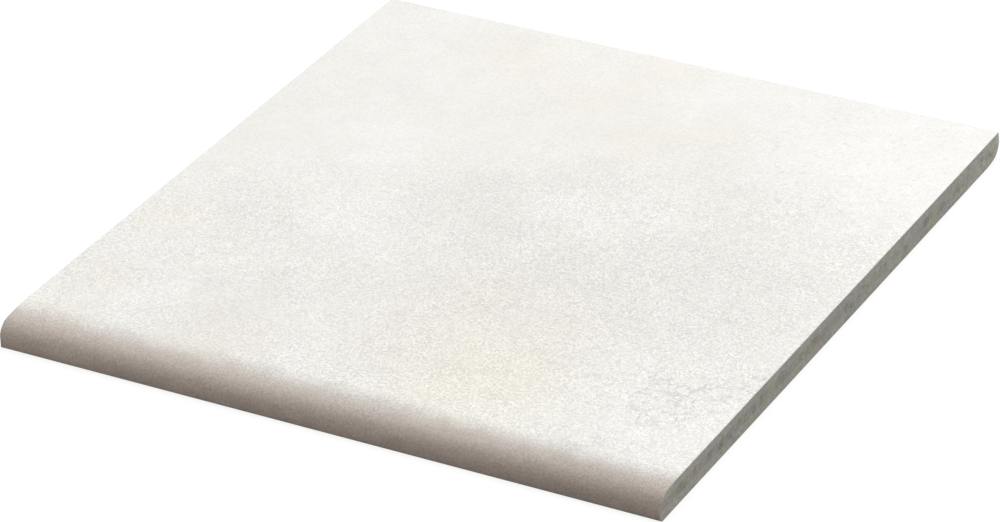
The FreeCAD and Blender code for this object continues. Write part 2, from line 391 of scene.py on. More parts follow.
pitch = KEY_SIZE + KEY_RIB
key_columns = int((2 * HALF_WIDTH - 2 * KEY_EDGE_MARGIN + KEY_RIB) // pitch)
key_room = BACK - FRONT - KEY_NOSE_MARGIN - KEY_HEEL_MARGIN
key_rows = int((key_room + KEY_RIB) // pitch)
cells_left = -key_columns * pitch / 2
cells_front = FRONT + KEY_NOSE_MARGIN + (key_room - key_rows * pitch) / 2
print(f"keys: {key_columns} by {key_rows}, a pitch of {pitch:.0f}")

# %% A list of points and faces to add to
points, faces, finishes = [], [], []
GLAZE, BODY = 0, 1


def add_points(new):
    """Adds points and returns their numbers, in the shape of the grid they came in."""
    new = np.asarray(new, float)
    first = len(points)
    points.extend(map(tuple, new.reshape(-1, 3)))
    return np.arange(first, len(points)).reshape(new.shape[:-1])


def add_face(corners, finish):
    """Adds one face between numbered points, with the number of its finish."""
    faces.append([int(c) for c in corners])
    finishes.append(finish)


def add_grid(grid, finish, keep=None):
    """Squares between the points of a grid, skipping those that keep refuses."""
    numbers = add_points(grid)
    for i in range(numbers.shape[0] - 1):
        for j in range(numbers.shape[1] - 1):
            if keep is None or keep(i, j):
                square = (numbers[i, j], numbers[i + 1, j], numbers[i + 1, j + 1], numbers[i, j + 1])
                add_face(square, finish)
    return numbers


print("the lists start with", len(points), "points and", len(faces), "faces")


# %% Sew two rows of points
def sew(row_a, row_b, finish):
    """Triangles between two rows of numbered points with any counts, each run end to end."""
    def shares(row):
        spots = np.array([points[n] for n in row])
        run = np.r_[0.0, np.cumsum(np.linalg.norm(np.diff(spots, axis=0), axis=1))]
        return run / run[-1]

    share_a, share_b = shares(row_a), shares(row_b)
    a = b = 0
    while a < len(row_a) - 1 or b < len(row_b) - 1:
        step_a = b == len(row_b) - 1 or (a < len(row_a) - 1 and share_a[a + 1] <= share_b[b + 1])
        if step_a:
            add_face((row_a[a], row_a[a + 1], row_b[b]), finish)
            a += 1
        else:
            add_face((row_a[a], row_b[b + 1], row_b[b]), finish)
            b += 1


print("rows with unequal counts can be sewn")

# %% Wrap the four sides and close the ends
add_grid(top_grid, GLAZE)
add_grid(front_grid, GLAZE)
add_grid(back_grid, BODY)
add_grid(left_end, BODY)
add_grid(right_end, BODY)

# Under the tile only the rounds are in squares. The flat between them is left open for the keys.
end_columns = len(quarter) - 1
flat_from = ARRIS_STEPS
flat_to = ARRIS_STEPS + under_steps


def in_a_round(i, j):
    """Whether a square under the tile lies on the rounded ends, the foot or the heel."""
    in_end = i < end_columns or i >= column_count - 1 - end_columns
    return in_end or j < flat_from or j >= flat_to


bottom_numbers = add_grid(bottom_grid, BODY, in_a_round)
print("faces so far:", len(faces))


# %% The outline of a key
def key_loop(x, y, size, corner, z):
    """A square with round corners, one corner after another, each with the same count of points."""
    half = size / 2
    loop = []
    for turn, (sx, sy) in enumerate([(1, -1), (1, 1), (-1, 1), (-1, -1)]):
        centre = (x + sx * (half - corner), y + sy * (half - corner))
        angles = np.radians(np.linspace(-90.0, 0.0, CORNER_STEPS + 1) + 90.0 * turn)
        for angle in angles:
            loop.append((centre[0] + corner * math.cos(angle), centre[1] + corner * math.sin(angle), z))
    return loop


print("points round a key:", len(key_loop(0.0, 0.0, KEY_SIZE, KEY_CORNER, 0.0)))

# %% One key in its cell
draw_in = KEY_DEPTH * math.tan(math.radians(KEY_DRAFT))


def stamp_key(x, y, cell_numbers):
    """Mouth, drafted wall and floor of one key, sewn to the four corners of its cell."""
    mouth = add_points(key_loop(x, y, KEY_SIZE, KEY_CORNER, 0.0))
    floor = add_points(key_loop(x, y, KEY_SIZE - 2 * draw_in, KEY_CORNER - draw_in, KEY_DEPTH))
    count = len(mouth)
    for step in range(count):
        after = (step + 1) % count
        add_face((mouth[step], floor[step], floor[after], mouth[after]), BODY)
    add_face(floor[::-1], BODY)
    corner_count = CORNER_STEPS + 1
    middle = CORNER_STEPS // 2
    for side in range(4):
        start = side * corner_count + middle
        run = [mouth[(start + k) % count] for k in range(corner_count + 1)]
        sew(run, [cell_numbers[side], cell_numbers[(side + 1) % 4]], BODY)


print(f"a key draws in by {draw_in:.2f} over its depth of {KEY_DEPTH}")

# %% Stamp all the keys
cell_x = cells_left + pitch * np.arange(key_columns + 1)
cell_y = cells_front + pitch * np.arange(key_rows + 1)
cell_grid = np.zeros((key_columns + 1, key_rows + 1, 3))
cell_grid[..., 0] = cell_x[:, None]
cell_grid[..., 1] = cell_y[None, :]
cells = add_points(cell_grid)
for i in range(key_columns):
    for j in range(key_rows):
        around = (cells[i + 1, j], cells[i + 1, j + 1], cells[i, j + 1], cells[i, j])
        stamp_key(cell_x[i] + pitch / 2, cell_y[j] + pitch / 2, around)
print("faces with the keys:", len(faces))

# %% Sew the plain rim round the keys
first_column, last_column = end_columns, column_count - 1 - end_columns
rim_sides = [
    (bottom_numbers[first_column:last_column + 1, flat_from], cells[:, 0]),
    (bottom_numbers[last_column, flat_from:flat_to + 1], cells[-1, :]),
    (bottom_numbers[first_column:last_column + 1, flat_to][::-1], cells[:, -1][::-1]),
    (bottom_numbers[first_column, flat_from:flat_to + 1][::-1], cells[0, :][::-1]),
]
for outer_row, cell_row in rim_sides:
    sew(outer_row, cell_row, BODY)
print("faces with the whole underside:", len(faces))

# %% [markdown]
# ## Joining it into one closed skin
# The patches were made apart, so points on shared borders exist twice. Merging by distance welds them, and
# recalculating the normals turns every face outward. A closed skin has exactly two faces on each edge, and
# that is checked here, because a hole would show in the exported mesh.

# %% Make the mesh
WELD_DISTANCE = 0.002
SHARP_ANGLE = 40

tile_mesh = bpy.data.meshes.new("bullnose_tile_skin")
tile_mesh.from_pydata([tuple(MM * v for v in p) for p in points], [], faces)
tile_mesh.polygons.foreach_set("material_index", finishes)

work = bmesh.new()
work.from_mesh(tile_mesh)
bmesh.ops.remove_doubles(work, verts=work.verts, dist=WELD_DISTANCE * MM)
bmesh.ops.recalc_face_normals(work, faces=work.faces)
open_edges = [edge for edge in work.edges if len(edge.link_faces) != 2]
volume = work.calc_volume(signed=True)
work.to_mesh(tile_mesh)
work.free()
tile_mesh.shade_smooth()
tile_mesh.set_sharp_from_angle(angle=math.radians(SHARP_ANGLE))

tile = bpy.data.objects.new("bullnose_tile_finish", tile_mesh)
bpy.context.scene.collection.objects.link(tile)
triangles = sum(len(face.vertices) - 2 for face in tile_mesh.polygons)
print(f"skin: {triangles} triangles, {len(open_edges)} open edges, {volume / MM**3 / 1000:.1f} cm3")
assert not open_edges, "the skin has a hole"

# %% [markdown]
# ## A small kit for node trees
# The finishes, the floor and the sky are node trees, and a tree is easier to read when each step is one line
# of code. These helpers add a node, join values to it and hand back what comes out, so that a finish reads
# like a recipe. Patterns are worked out in object coordinates, in metres, so nothing depends on a UV map and
# the pattern stays on the clay when the camera moves. A noise stays near 0.5 almost everywhere, so between
# two levels near 0.5 it turns into soft patches, and the closer the levels, the harder the patches' edges.

# %% Helpers for any tree
WHITE = (1.0, 1.0, 1.0)


class Tree:
    """A node tree, emptied, and one-line ways to add to it."""

    def __init__(self, tree):
        self.tree = tree
        self.tree.nodes.clear()

    def add(self, kind, **settings):
        """A new node with the given settings."""
        node = self.tree.nodes.new(kind)
        for key, value in settings.items():
            setattr(node, key, value)
        return node

    def feed(self, socket, value):
        """A socket takes either what another node gives or a plain value; a colour gets its alpha here."""
        if isinstance(value, bpy.types.NodeSocket):
            self.tree.links.new(value, socket)
        elif socket.type == "RGBA":
            socket.default_value = (*value, 1.0)
        else:
            socket.default_value = value

    def calc(self, operation, a, b):
        """One step of arithmetic on two values."""
        node = self.add("ShaderNodeMath", operation=operation)
        self.feed(node.inputs[0], a)
        self.feed(node.inputs[1], b)
        return node.outputs[0]

    def seen_by_eye(self):
        """1 for rays from the camera, a reflection or glass, and 0 for all others."""
        ray = self.add("ShaderNodeLightPath").outputs
        direct = self.calc("MAXIMUM", ray["Is Camera Ray"], ray["Is Glossy Ray"])
        return self.calc("MAXIMUM", direct, ray["Is Transmission Ray"])


print("helpers for trees: add, feed, calc, seen_by_eye")

# %% Helpers for a patterned finish
# Nearly all of a noise lies between these two levels.
LOW_NOISE, HIGH_NOISE = 0.3, 0.7


class Finish(Tree):
    """A material, worked out from the place on the object."""

    def __init__(self, name):
        self.material = bpy.data.materials.new(name)
        self.material.use_nodes = True
        super().__init__(self.material.node_tree)
        self.place = self.add("ShaderNodeTexCoord").outputs["Object"]

    def grain(self, size, detail=2.0, roughness=0.5, twist=0.0):
        """Soft noise around 0.5 whose lumps are about the given size, in metres; twist curls them."""
        node = self.add("ShaderNodeTexNoise")
        self.feed(node.inputs["Vector"], self.place)
        self.feed(node.inputs["Scale"], 1.0 / size)
        self.feed(node.inputs["Detail"], detail)
        self.feed(node.inputs["Roughness"], roughness)
        self.feed(node.inputs["Distortion"], twist)
        return node.outputs

    def lumps(self, size, detail=2.0, roughness=0.5, twist=0.0):
        """The same noise as one plain value."""
        return self.grain(size, detail, roughness, twist)["Fac"]

    def net(self, where, spacing, feature="F1"):
        """Distances in a net of cells, from their middles or from their edges."""
        node = self.add("ShaderNodeTexVoronoi", feature=feature)
        self.feed(node.inputs["Vector"], where)
        self.feed(node.inputs["Scale"], 1.0 / spacing)
        return node.outputs["Distance"]

    def vector(self, operation, a, b):
        """One step of arithmetic on two vectors."""
        node = self.add("ShaderNodeVectorMath", operation=operation)
        self.feed(node.inputs[0], a)
        self.feed(node.inputs[1], b)
        return node.outputs["Value" if operation == "DISTANCE" else "Vector"]

    def wander(self, where, size, reach, detail=2.0):
        """The place, pushed about by up to the given reach in lumps of the given size, in metres."""
        push = self.vector("MULTIPLY_ADD", self.grain(size, detail)["Color"], (2 * reach,) * 3)
        self.feed(push.node.inputs[2], (-reach,) * 3)
        return self.vector("ADD", where, push)

    def between(self, value, low, high, to_low=0.0, to_high=1.0):
        """Carries a range of values smoothly to another range, and stops at its ends."""
        node = self.add("ShaderNodeMapRange", interpolation_type="SMOOTHSTEP")
        self.feed(node.inputs["Value"], value)
        for name, number in zip(("From Min", "From Max", "To Min", "To Max"), (low, high, to_low, to_high)):
            self.feed(node.inputs[name], number)
        return node.outputs[0]

    def swing(self, lumps, to_low, to_high):
        """Carries the whole spread of a noise to another range."""
        return self.between(lumps, LOW_NOISE, HIGH_NOISE, to_low, to_high)

    def blend(self, share, under, over, way="MIX"):
        """Lays one colour over another by a share from 0 to 1."""
        node = self.add("ShaderNodeMix", data_type="RGBA", blend_type=way)
        self.feed(node.inputs[0], share)
        takes = [socket for socket in node.inputs if socket.type == "RGBA"]
        self.feed(takes[0], under)
        self.feed(takes[1], over)
        return next(socket for socket in node.outputs if socket.type == "RGBA")

    def times(self, colour, shade):
        """A colour times a shade."""
        return self.blend(1.0, colour, shade, "MULTIPLY")

    def tinted(self, share, colour, tint):
        """A colour that takes on a tint by a share from 0 to 1."""
        return self.blend(share, colour, self.times(colour, tint))

    def close(self, colour, roughness, height):
        """Ends the tree in one surface: colour, roughness and a height in metres for the bump."""
        bump = self.add("ShaderNodeBump")
        self.feed(bump.inputs["Strength"], 1.0)
        self.feed(bump.inputs["Distance"], 1.0)
        self.feed(bump.inputs["Height"], height)
        surface = self.add("ShaderNodeBsdfPrincipled")
        self.feed(surface.inputs["Base Color"], colour)
        self.feed(surface.inputs["Roughness"], roughness)
        self.feed(surface.inputs["Normal"], bump.outputs["Normal"])
        output = self.add("ShaderNodeOutputMaterial")
        self.feed(output.inputs["Surface"], surface.outputs[0])


print("helpers for finishes: grain, net, wander, between, swing, blend, tinted, close")

# %% [markdown]
# ## The matte glaze
# The face has an off-white matte glaze with the look of worn stone: wide clouds a little warmer, greyer or
# paler than the rest, the palest along the back partly painted light, a sandy grain with light and grey
# specks, partly painted light and shade of its relief, painted glints, and a few patches of fine crackle. On
# the nose the glaze runs thin and the clay shows through, so the white turns to taupe, and painted shade
# darkens it further. A photograph wrapped round the tile would fix all that to one picture. Here it is a
# recipe instead, built up from the widest marks to the finest, and each layer multiplies the colour of the
# one before.

# %% Colours of the glaze
OFF_WHITE = (0.837, 0.8272, 0.7882)
TINTS = {
    "beige": (0.968, 0.946, 0.930),
    "cream": (1.000, 0.982, 0.962),
    "straw": (1.020, 1.018, 0.980),
    "grey": (0.947, 0.946, 0.945),
    "mist": (0.972, 0.972, 0.971),
    "pale": (1.019, 1.019, 1.021),
    "light": (1.038, 1.038, 1.043),
    "bright": (1.078, 1.081, 1.097),
}
glaze = Finish("matte_stone_glaze")
print("tints of the glaze:", ", ".join(TINTS))

# %% [markdown]
# ## Clouds
# Glaze is sprayed and never lies quite evenly, so the face has soft clouds a few centimetres wide. The pale
# and bright clouds along the back are partly painted light, for the back of the face lit more strongly. Plain
# noise would put them anywhere. Each one is a tint with a place and a reach instead, so that it can be laid
# where the real tile has it, and the place is pushed about first, so that no cloud is round.

# %% Where the clouds lie
# Each cloud is a tint, its middle (from the middle of the tile) and its reach, in millimetres.
CLOUDS = [
    # Partly painted light: the first three, pale along the back and bright at the back right.
    ("light", -84, 158, 84),
    ("light", 24, 160, 66),
    ("bright", 143, 131, 103),
    ("pale", -104, 58, 28),
    ("light", -80, 38, 26),
    ("pale", -66, -28, 34),
    ("pale", 16, 19, 27),
    ("pale", -134, -56, 28),
    ("pale", -105, 14, 26),
    ("pale", -104, -116, 28),
    ("pale", 138, -90, 30),
    ("light", 138, -130, 48),
    ("grey", 90, -14, 75),
    ("grey", -20, 4, 52),
    ("mist", -100, -40, 40),
    ("mist", -74, -103, 33),
    ("mist", -52, -80, 38),
    ("mist", 14, -22, 42),
    ("mist", 44, -22, 28),
    ("mist", 14, 48, 34),
    ("mist", -18, -58, 26),
    ("mist", 17, -57, 25),
    ("mist", -86, 139, 37),
    ("mist", 60, 64, 32),
    ("beige", 30, -85, 84),
    ("straw", 54, -126, 50),
    ("beige", -64, -142, 36),
    ("cream", -132, -146, 24),
    ("cream", -132, -56, 24),
    ("cream", -136, -112, 20),
    ("cream", -68, 136, 42),
    ("cream", -4, 148, 30),
    ("cream", -24, 119, 27),
    ("cream", 12, 92, 36),
    ("cream", 44, 108, 32),
]
print("clouds on the glaze:", len(CLOUDS))

# %% Lay the clouds
CLOUD_CORE = 0.3
DRIFT_SIZE, DRIFT_REACH = 0.036, 0.020
drifting = glaze.wander(glaze.place, DRIFT_SIZE, DRIFT_REACH, detail=3.0)

colour = OFF_WHITE
for tint, x, y, reach in CLOUDS:
    away = glaze.vector("DISTANCE", drifting, (x * MM, y * MM, THICK * MM))
    share = glaze.between(away, reach * MM, CLOUD_CORE * reach * MM)
    colour = glaze.tinted(share, colour, TINTS[tint])
print("glaze nodes with the clouds:", len(glaze.tree.nodes))

# %% [markdown]
# ## Measuring along the section, and soft ovals
# What the glaze does on the nose depends on how far round the section a place is. The depth from the front
# and the height, added up, give a good enough distance: it runs up the front from the foot, round the nose
# and on over the face, and never turns back. Other marks belong to a part of the face only, so a soft oval
# gives their share. The oval follows the drift of the clouds, so its edge is as uneven as theirs.

# %% How far along the section a place is
UNEVEN_SIZE, UNEVEN_REACH = 0.012, 0.0012
at = glaze.add("ShaderNodeSeparateXYZ")
glaze.feed(at.inputs[0], glaze.place)
from_front = glaze.calc("SUBTRACT", at.outputs["Y"], FRONT * MM)
plain_distance = glaze.calc("ADD", from_front, at.outputs["Z"])
uneven = glaze.swing(glaze.lumps(UNEVEN_SIZE, detail=3.0), -UNEVEN_REACH, UNEVEN_REACH)
along_section = glaze.calc("ADD", plain_distance, uneven)
print(f"the section is measured from the foot of the front, give or take {UNEVEN_REACH / MM:.1f} mm")

# %% Soft ovals on the face
OVAL_END, OVAL_CORE = 1.15, 0.55


def soft_oval(x, y, half_x, half_y):
    """1 in the middle of an oval on the face and 0 outside it, in millimetres."""
    shift = glaze.add("ShaderNodeMapping")
    glaze.feed(shift.inputs["Vector"], drifting)
    glaze.feed(shift.inputs["Location"], (-x / half_x, -y / half_y, 0.0))
    glaze.feed(shift.inputs["Scale"], (1.0 / (half_x * MM), 1.0 / (half_y * MM), 0.0))
    reach = glaze.add("ShaderNodeVectorMath", operation="LENGTH")
    glaze.feed(reach.inputs[0], shift.outputs["Vector"])
    return glaze.between(reach.outputs["Value"], OVAL_END, OVAL_CORE)


print(f"an oval is full within {OVAL_CORE} of its reach and gone past {OVAL_END}")

# %% [markdown]
# ## A sandy grain, crisp and fainter
# The glaze is full of fine grains, light on the humps and grey in the hollows: partly its own speckle and
# partly painted light and shade of its fine relief. It is crisp along the front and the right, a little
# quieter in two ovals by the nose, and fainter towards the back, past a line that slants over the left
# half. One noise gives the grain, and a share called crisp says how much of it each place shows. The same
# noise drives the bump later, because the grey specks are the hollows.

# %% Where the grain is crisp
# The line past which the grain is fainter: it slants on the left half and runs straight from FAINT_STRAIGHT
# on.
FAINT_SLANT, FAINT_STRAIGHT = 0.55, 0.040
FAINT_START, FAINT_FULL = -0.010, 0.115
FAINT_GRAIN = 0.36
PATCHY_SIZE, PATCHY_LEAST = 0.045, 0.84
CLUMP_SIZE, CLUMP_LEAST = 0.0050, 0.72
# Two quieter ovals by the nose: their middle, their reach both ways and the grain that is left there.
QUIET = [(-92, -124, 58, 30, 0.80), (124, -130, 40, 26, 0.84)]

slant = glaze.calc("MULTIPLY", glaze.calc("MINIMUM", at.outputs["X"], FAINT_STRAIGHT), FAINT_SLANT)
faint = glaze.between(glaze.calc("SUBTRACT", at.outputs["Y"], slant), FAINT_START, FAINT_FULL)
patchy = glaze.between(glaze.lumps(PATCHY_SIZE), 0.38, 0.62, PATCHY_LEAST, 1.0)
clumps = glaze.between(glaze.lumps(CLUMP_SIZE), 0.40, 0.60, CLUMP_LEAST, 1.0)
crisp = glaze.calc("MULTIPLY", patchy, glaze.between(faint, 0.0, 1.0, 1.0, FAINT_GRAIN))
crisp = glaze.calc("MULTIPLY", crisp, clumps)
for x, y, half_x, half_y, left in QUIET:
    quiet = glaze.between(soft_oval(x, y, half_x, half_y), 0.0, 1.0, 1.0, left)
    crisp = glaze.calc("MULTIPLY", crisp, quiet)
print("quieter ovals by the nose:", len(QUIET))

# %% Mottling and sand
MOTTLE_SIZE = 0.016
MOTTLE_DARK, MOTTLE_LIGHT = 0.984, 1.014
SAND_SIZE = 0.00086
SAND_DARK, SAND_LIGHT = 0.821, 1.142
mottled = glaze.swing(glaze.lumps(MOTTLE_SIZE, roughness=0.6), MOTTLE_DARK, MOTTLE_LIGHT)
sand = glaze.lumps(SAND_SIZE, detail=1.0, roughness=0.6, twist=0.5)
# Painted light and shade in part: lighter humps and greyer hollows of the sand.
sandy = glaze.between(sand, 0.36, 0.66, SAND_DARK, SAND_LIGHT)
sandy = glaze.blend(crisp, WHITE, sandy)
colour = glaze.times(colour, mottled)
colour = glaze.times(colour, sandy)
print(f"grains of sand, about {SAND_SIZE / MM:.2f} mm each")

# %% Painted glints
# Painted highlights on the grains: one to each cell of a loose net.
GLINT_SPACING = 0.0026
GLINT_EDGE, GLINT_CORE = 0.22, 0.10
GLINT_GAIN = (1.045, 1.045, 1.045)
glints = glaze.between(glaze.net(glaze.place, GLINT_SPACING), GLINT_EDGE, GLINT_CORE)
colour = glaze.tinted(glaze.calc("MULTIPLY", glints, crisp), colour, GLINT_GAIN)
print(f"bright grains, one in about {GLINT_SPACING / MM:.1f} mm")

# %% [markdown]
# ## Crackle and flecks
# In a few places the glaze shows a net of fine grey lines, as if it had crazed, strongest near the right end
# of the nose. The edges between the cells of a Voronoi pattern are such a net, once the place is bent twice,
# so that no line is straight. A slow noise breaks the lines up, and soft ovals keep them to their patches.
# The pale corner at the back right has sparse dark flecks instead: the highest lumps of a fine noise.

# %% Patches of crackle
CRACKLE_SIZE = 0.0068
CRACK_SHADE = (0.838, 0.838, 0.835)
CRACK_EDGE, CRACK_CORE = 0.108, 0.032
BREAK_SIZE, BREAK_LEAST = 0.0100, 0.20
# The size of the lumps that bend the place, and how far they do.
WIDE_BEND = (0.0060, 0.0032)
SMALL_BEND = (0.0018, 0.0010)
# Each crackled patch has its middle and its reach both ways, in millimetres, and its strength.
CRACKLED = [
    (126, -98, 21, 26, 1.0),
    (146, -72, 12, 12, 1.0),
    (112, -141, 24, 8, 0.5),
    (95, 54, 40, 34, 0.22),
]
bent_twice = glaze.wander(glaze.wander(glaze.place, *WIDE_BEND), *SMALL_BEND)
veins = glaze.between(glaze.net(bent_twice, CRACKLE_SIZE, "DISTANCE_TO_EDGE"), CRACK_EDGE, CRACK_CORE)
broken = glaze.between(glaze.lumps(BREAK_SIZE), 0.40, 0.56, BREAK_LEAST, 1.0)
patches = 0.0
for x, y, half_x, half_y, strength in CRACKLED:
    patch = glaze.calc("MULTIPLY", soft_oval(x, y, half_x, half_y), strength)
    patches = glaze.calc("MAXIMUM", patches, patch)
cracked = glaze.calc("MULTIPLY", glaze.calc("MULTIPLY", veins, broken), patches)
colour = glaze.tinted(cracked, colour, CRACK_SHADE)
print("crackled patches:", len(CRACKLED))

# %% Dark flecks at the back right
FLECK_SIZE = 0.0022
FLECK_EDGE, FLECK_CORE = 0.61, 0.67
FLECK_SHADE = (0.905, 0.905, 0.898)
FLECKED = (108, 112, 62, 66)
flecks = glaze.between(glaze.lumps(FLECK_SIZE, detail=1.0, twist=0.6), FLECK_EDGE, FLECK_CORE)
colour = glaze.tinted(glaze.calc("MULTIPLY", flecks, soft_oval(*FLECKED)), colour, FLECK_SHADE)
print("glaze nodes with the flecks:", len(glaze.tree.nodes))

# %% [markdown]
# ## Thin glaze and painted shade on the nose
# Wet glaze runs off a rounded edge, so on the nose it fires thin and the clay shows through: taupe, darkest
# low down, lightest halfway up the front, and turning into the off-white of the face over the next two
# centimetres. The taupe is also painted shade, where the nose turns away from the light, and the darkest
# shade at the foot is partly dirt and partly a painted contact shadow. A colour ramp along the section gives
# the shades, and the sand of the face lies faintly over them. The nose is painted a touch lighter at its left
# end than at its right, as light and shade.

# %% Shades along the nose
# Each shade has its distance along the section, in metres.
# The ramp is partly thin glaze and partly painted shade; its first shade, at the foot, is partly dirt and
# partly a painted contact shadow.
NOSE_GLAZE_AND_SHADE = [
    (0.0003, (0.350, 0.300, 0.262)),
    (0.0026, (0.425, 0.343, 0.292)),
    (0.0066, (0.548, 0.460, 0.392)),
    (0.0120, (0.472, 0.407, 0.356)),
    (0.0165, (0.447, 0.389, 0.345)),
]
RAMP_LENGTH = 0.020
ramp = glaze.add("ShaderNodeValToRGB")
glaze.feed(ramp.inputs[0], glaze.calc("DIVIDE", along_section, RAMP_LENGTH))
stops = ramp.color_ramp.elements
for number, (distance, shade) in enumerate(NOSE_GLAZE_AND_SHADE):
    stop = stops[number] if number < 2 else stops.new(distance / RAMP_LENGTH)
    stop.position = distance / RAMP_LENGTH
    stop.color = (*shade, 1.0)
print("shades along the nose:", len(stops))

# %% The glaze thins over the nose, with painted shade on it
COVER_START, COVER_FULL = 0.0142, 0.0343
# Painted light and shade: the nose is lighter towards its left end and darker towards its right.
NOSE_LEFT, NOSE_RIGHT = 1.08, 0.95
NOSE_GRAIN = 0.86
half_width = HALF_WIDTH * MM
end_to_end = glaze.between(at.outputs["X"], -half_width, half_width, NOSE_LEFT, NOSE_RIGHT)
thin_and_shaded = glaze.times(ramp.outputs["Color"], glaze.blend(NOSE_GRAIN, WHITE, sandy))
thin_and_shaded = glaze.times(thin_and_shaded, end_to_end)
cover = glaze.between(along_section, COVER_START, COVER_FULL)
colour = glaze.blend(cover, thin_and_shaded, colour)
print(f"full cover from {COVER_FULL / MM:.0f} mm along the section")

# %% [markdown]
# ## A painted highlight on the right corner
# Low down on the front, the last millimetre before the right end is painted lighter: a highlight where the
# rounded arris catches the light. It is a narrow share along the nose times a low share up the section. The
# edge is pushed in and out by a fine noise, so that it is not straight.

# %% A painted highlight on the right corner of the front
HIGHLIGHT_WIDTH = 1.05
STRIP_EDGE = (-0.0002, 0.0003)
STRIP_HIGHLIGHT = (0.582, 0.541, 0.495)
STRIP_GONE, STRIP_FULL = 0.0088, 0.0036
RAGGED_SIZE, RAGGED_REACH = 0.0030, 0.0003
ragged = glaze.swing(glaze.lumps(RAGGED_SIZE), -RAGGED_REACH, RAGGED_REACH)
to_the_corner = glaze.calc("ADD", at.outputs["X"], ragged)
strip_start = (HALF_WIDTH - HIGHLIGHT_WIDTH) * MM
in_strip = glaze.between(to_the_corner, strip_start + STRIP_EDGE[0], strip_start + STRIP_EDGE[1])
low_down = glaze.between(along_section, STRIP_GONE, STRIP_FULL)
colour = glaze.blend(glaze.calc("MULTIPLY", in_strip, low_down), colour, STRIP_HIGHLIGHT)
print(f"bare strip: the last {HIGHLIGHT_WIDTH} mm before the right end")

# %% [markdown]
# ## Feel of the glaze
# A matte glaze is not flat: the sand stands a hundredth of a millimetre proud, a slow orange peel runs under
# it, and the cracks are cut in. All three add up to one height for the bump, which shades like real relief
# but needs no squares. The humps are also rubbed a little smoother than the hollows.

# %% Height and roughness of the glaze
SAND_HEIGHT = 0.000018
PEEL_SIZE, PEEL_HEIGHT = 0.0034, 0.00001
CRACK_DEPTH = 0.00003
HOLLOW_ROUGHNESS, HUMP_ROUGHNESS = 0.62, 0.50
height = glaze.calc("MULTIPLY", glaze.calc("MULTIPLY", sand, crisp), SAND_HEIGHT)
peel = glaze.calc("MULTIPLY", glaze.lumps(PEEL_SIZE, detail=1.0), PEEL_HEIGHT)
height = glaze.calc("ADD", height, peel)
height = glaze.calc("SUBTRACT", height, glaze.calc("MULTIPLY", cracked, CRACK_DEPTH))
glaze_roughness = glaze.swing(sand, HOLLOW_ROUGHNESS, HUMP_ROUGHNESS)
glaze.close(colour, glaze_roughness, height)
print("glaze nodes:", len(glaze.tree.nodes))

# %% [markdown]
# ## The bare fired body
# Where there is no glaze, the ends, the back and the underside, the stoneware itself shows. It is olive grey,
# clouded by the mix of clays, with dark iron specks and the odd brown bleed near the foot, and dull. Each
# clay is a noise cut off at a high level, so that it gives separate patches, laid over the last one.

# %% Colours of the body
OLIVE_GREY = (0.500, 0.480, 0.418)
KHAKI_CLAY = (0.525, 0.502, 0.408)
VIOLET_CLAY = (0.500, 0.478, 0.450)
GREEN_CLAY = (0.470, 0.478, 0.418)
DARK_CLAY = (0.320, 0.308, 0.265)
BROWN_CLAY = (0.575, 0.482, 0.386)
IRON = (0.150, 0.130, 0.105)
body = Finish("bare_stoneware")
sides = body.add("ShaderNodeSeparateXYZ")
body.feed(sides.inputs[0], body.place)
print("clays laid over olive grey: khaki, violet, green, dark and brown, with specks of iron")


# %% The mix of clays
def clay_patches(size, detail, low, high, most):
    """Patches of a clay: their share of the colour, over noise of the given size in metres."""
    return body.between(body.lumps(size, detail, 0.6), low, high, 0.0, most)


# Each clay has its patches' size, the two levels between which they rise, and their share at most.
CLAYS = [
    (KHAKI_CLAY, 0.0105, 0.50, 0.56, 0.9),
    (VIOLET_CLAY, 0.0125, 0.51, 0.57, 0.9),
    (GREEN_CLAY, 0.0090, 0.53, 0.59, 0.8),
]
colour = OLIVE_GREY
for clay, size, low, high, most in CLAYS:
    colour = body.blend(clay_patches(size, 2.0, low, high, most), colour, clay)
print("body nodes with the mix of clays:", len(body.tree.nodes))

# %% Dark patches
# The clay is calmer near the walked face and near the foot than in the middle of the thickness.
TOP_START, TOP_FULL = 0.0078, 0.0092
FOOT_START, FOOT_FULL = 0.0050, 0.0034
CALM_DARK = 0.40
near_top = body.between(sides.outputs["Z"], TOP_START, TOP_FULL)
near_foot = body.between(sides.outputs["Z"], FOOT_START, FOOT_FULL)
calm = body.calc("MAXIMUM", near_top, near_foot)
dark = clay_patches(0.0064, 1.0, 0.55, 0.66, 0.62)
dark = body.calc("MULTIPLY", dark, body.between(calm, 0.0, 1.0, 1.0, CALM_DARK))
colour = body.blend(dark, colour, DARK_CLAY)
print(f"dark patches, {CALM_DARK:.0%} as strong near the face and the foot")

# %% Brown bleeds and a darker top rim
BLEED_START, BLEED_FULL = 0.0054, 0.0026
CLEAN_FOOT, BLEED_FOOT = 0.0002, 0.0014
RIM_START, RIM_FULL, RIM_SHADE = 0.0117, 0.0121, 0.84
low_on_the_end = body.between(sides.outputs["Z"], BLEED_START, BLEED_FULL)
off_the_floor = body.between(sides.outputs["Z"], CLEAN_FOOT, BLEED_FOOT)
bleed = body.calc("MULTIPLY", low_on_the_end, off_the_floor)
bleed = body.calc("MULTIPLY", bleed, clay_patches(0.0056, 1.0, 0.55, 0.66, 0.50))
colour = body.blend(bleed, colour, BROWN_CLAY)
# The bare clay is darker along its top rim.
colour = body.times(colour, body.between(sides.outputs["Z"], RIM_START, RIM_FULL, 1.0, RIM_SHADE))
print(f"bleeds below {BLEED_START / MM:.1f} mm, a dirty rim above {RIM_START / MM:.1f} mm")

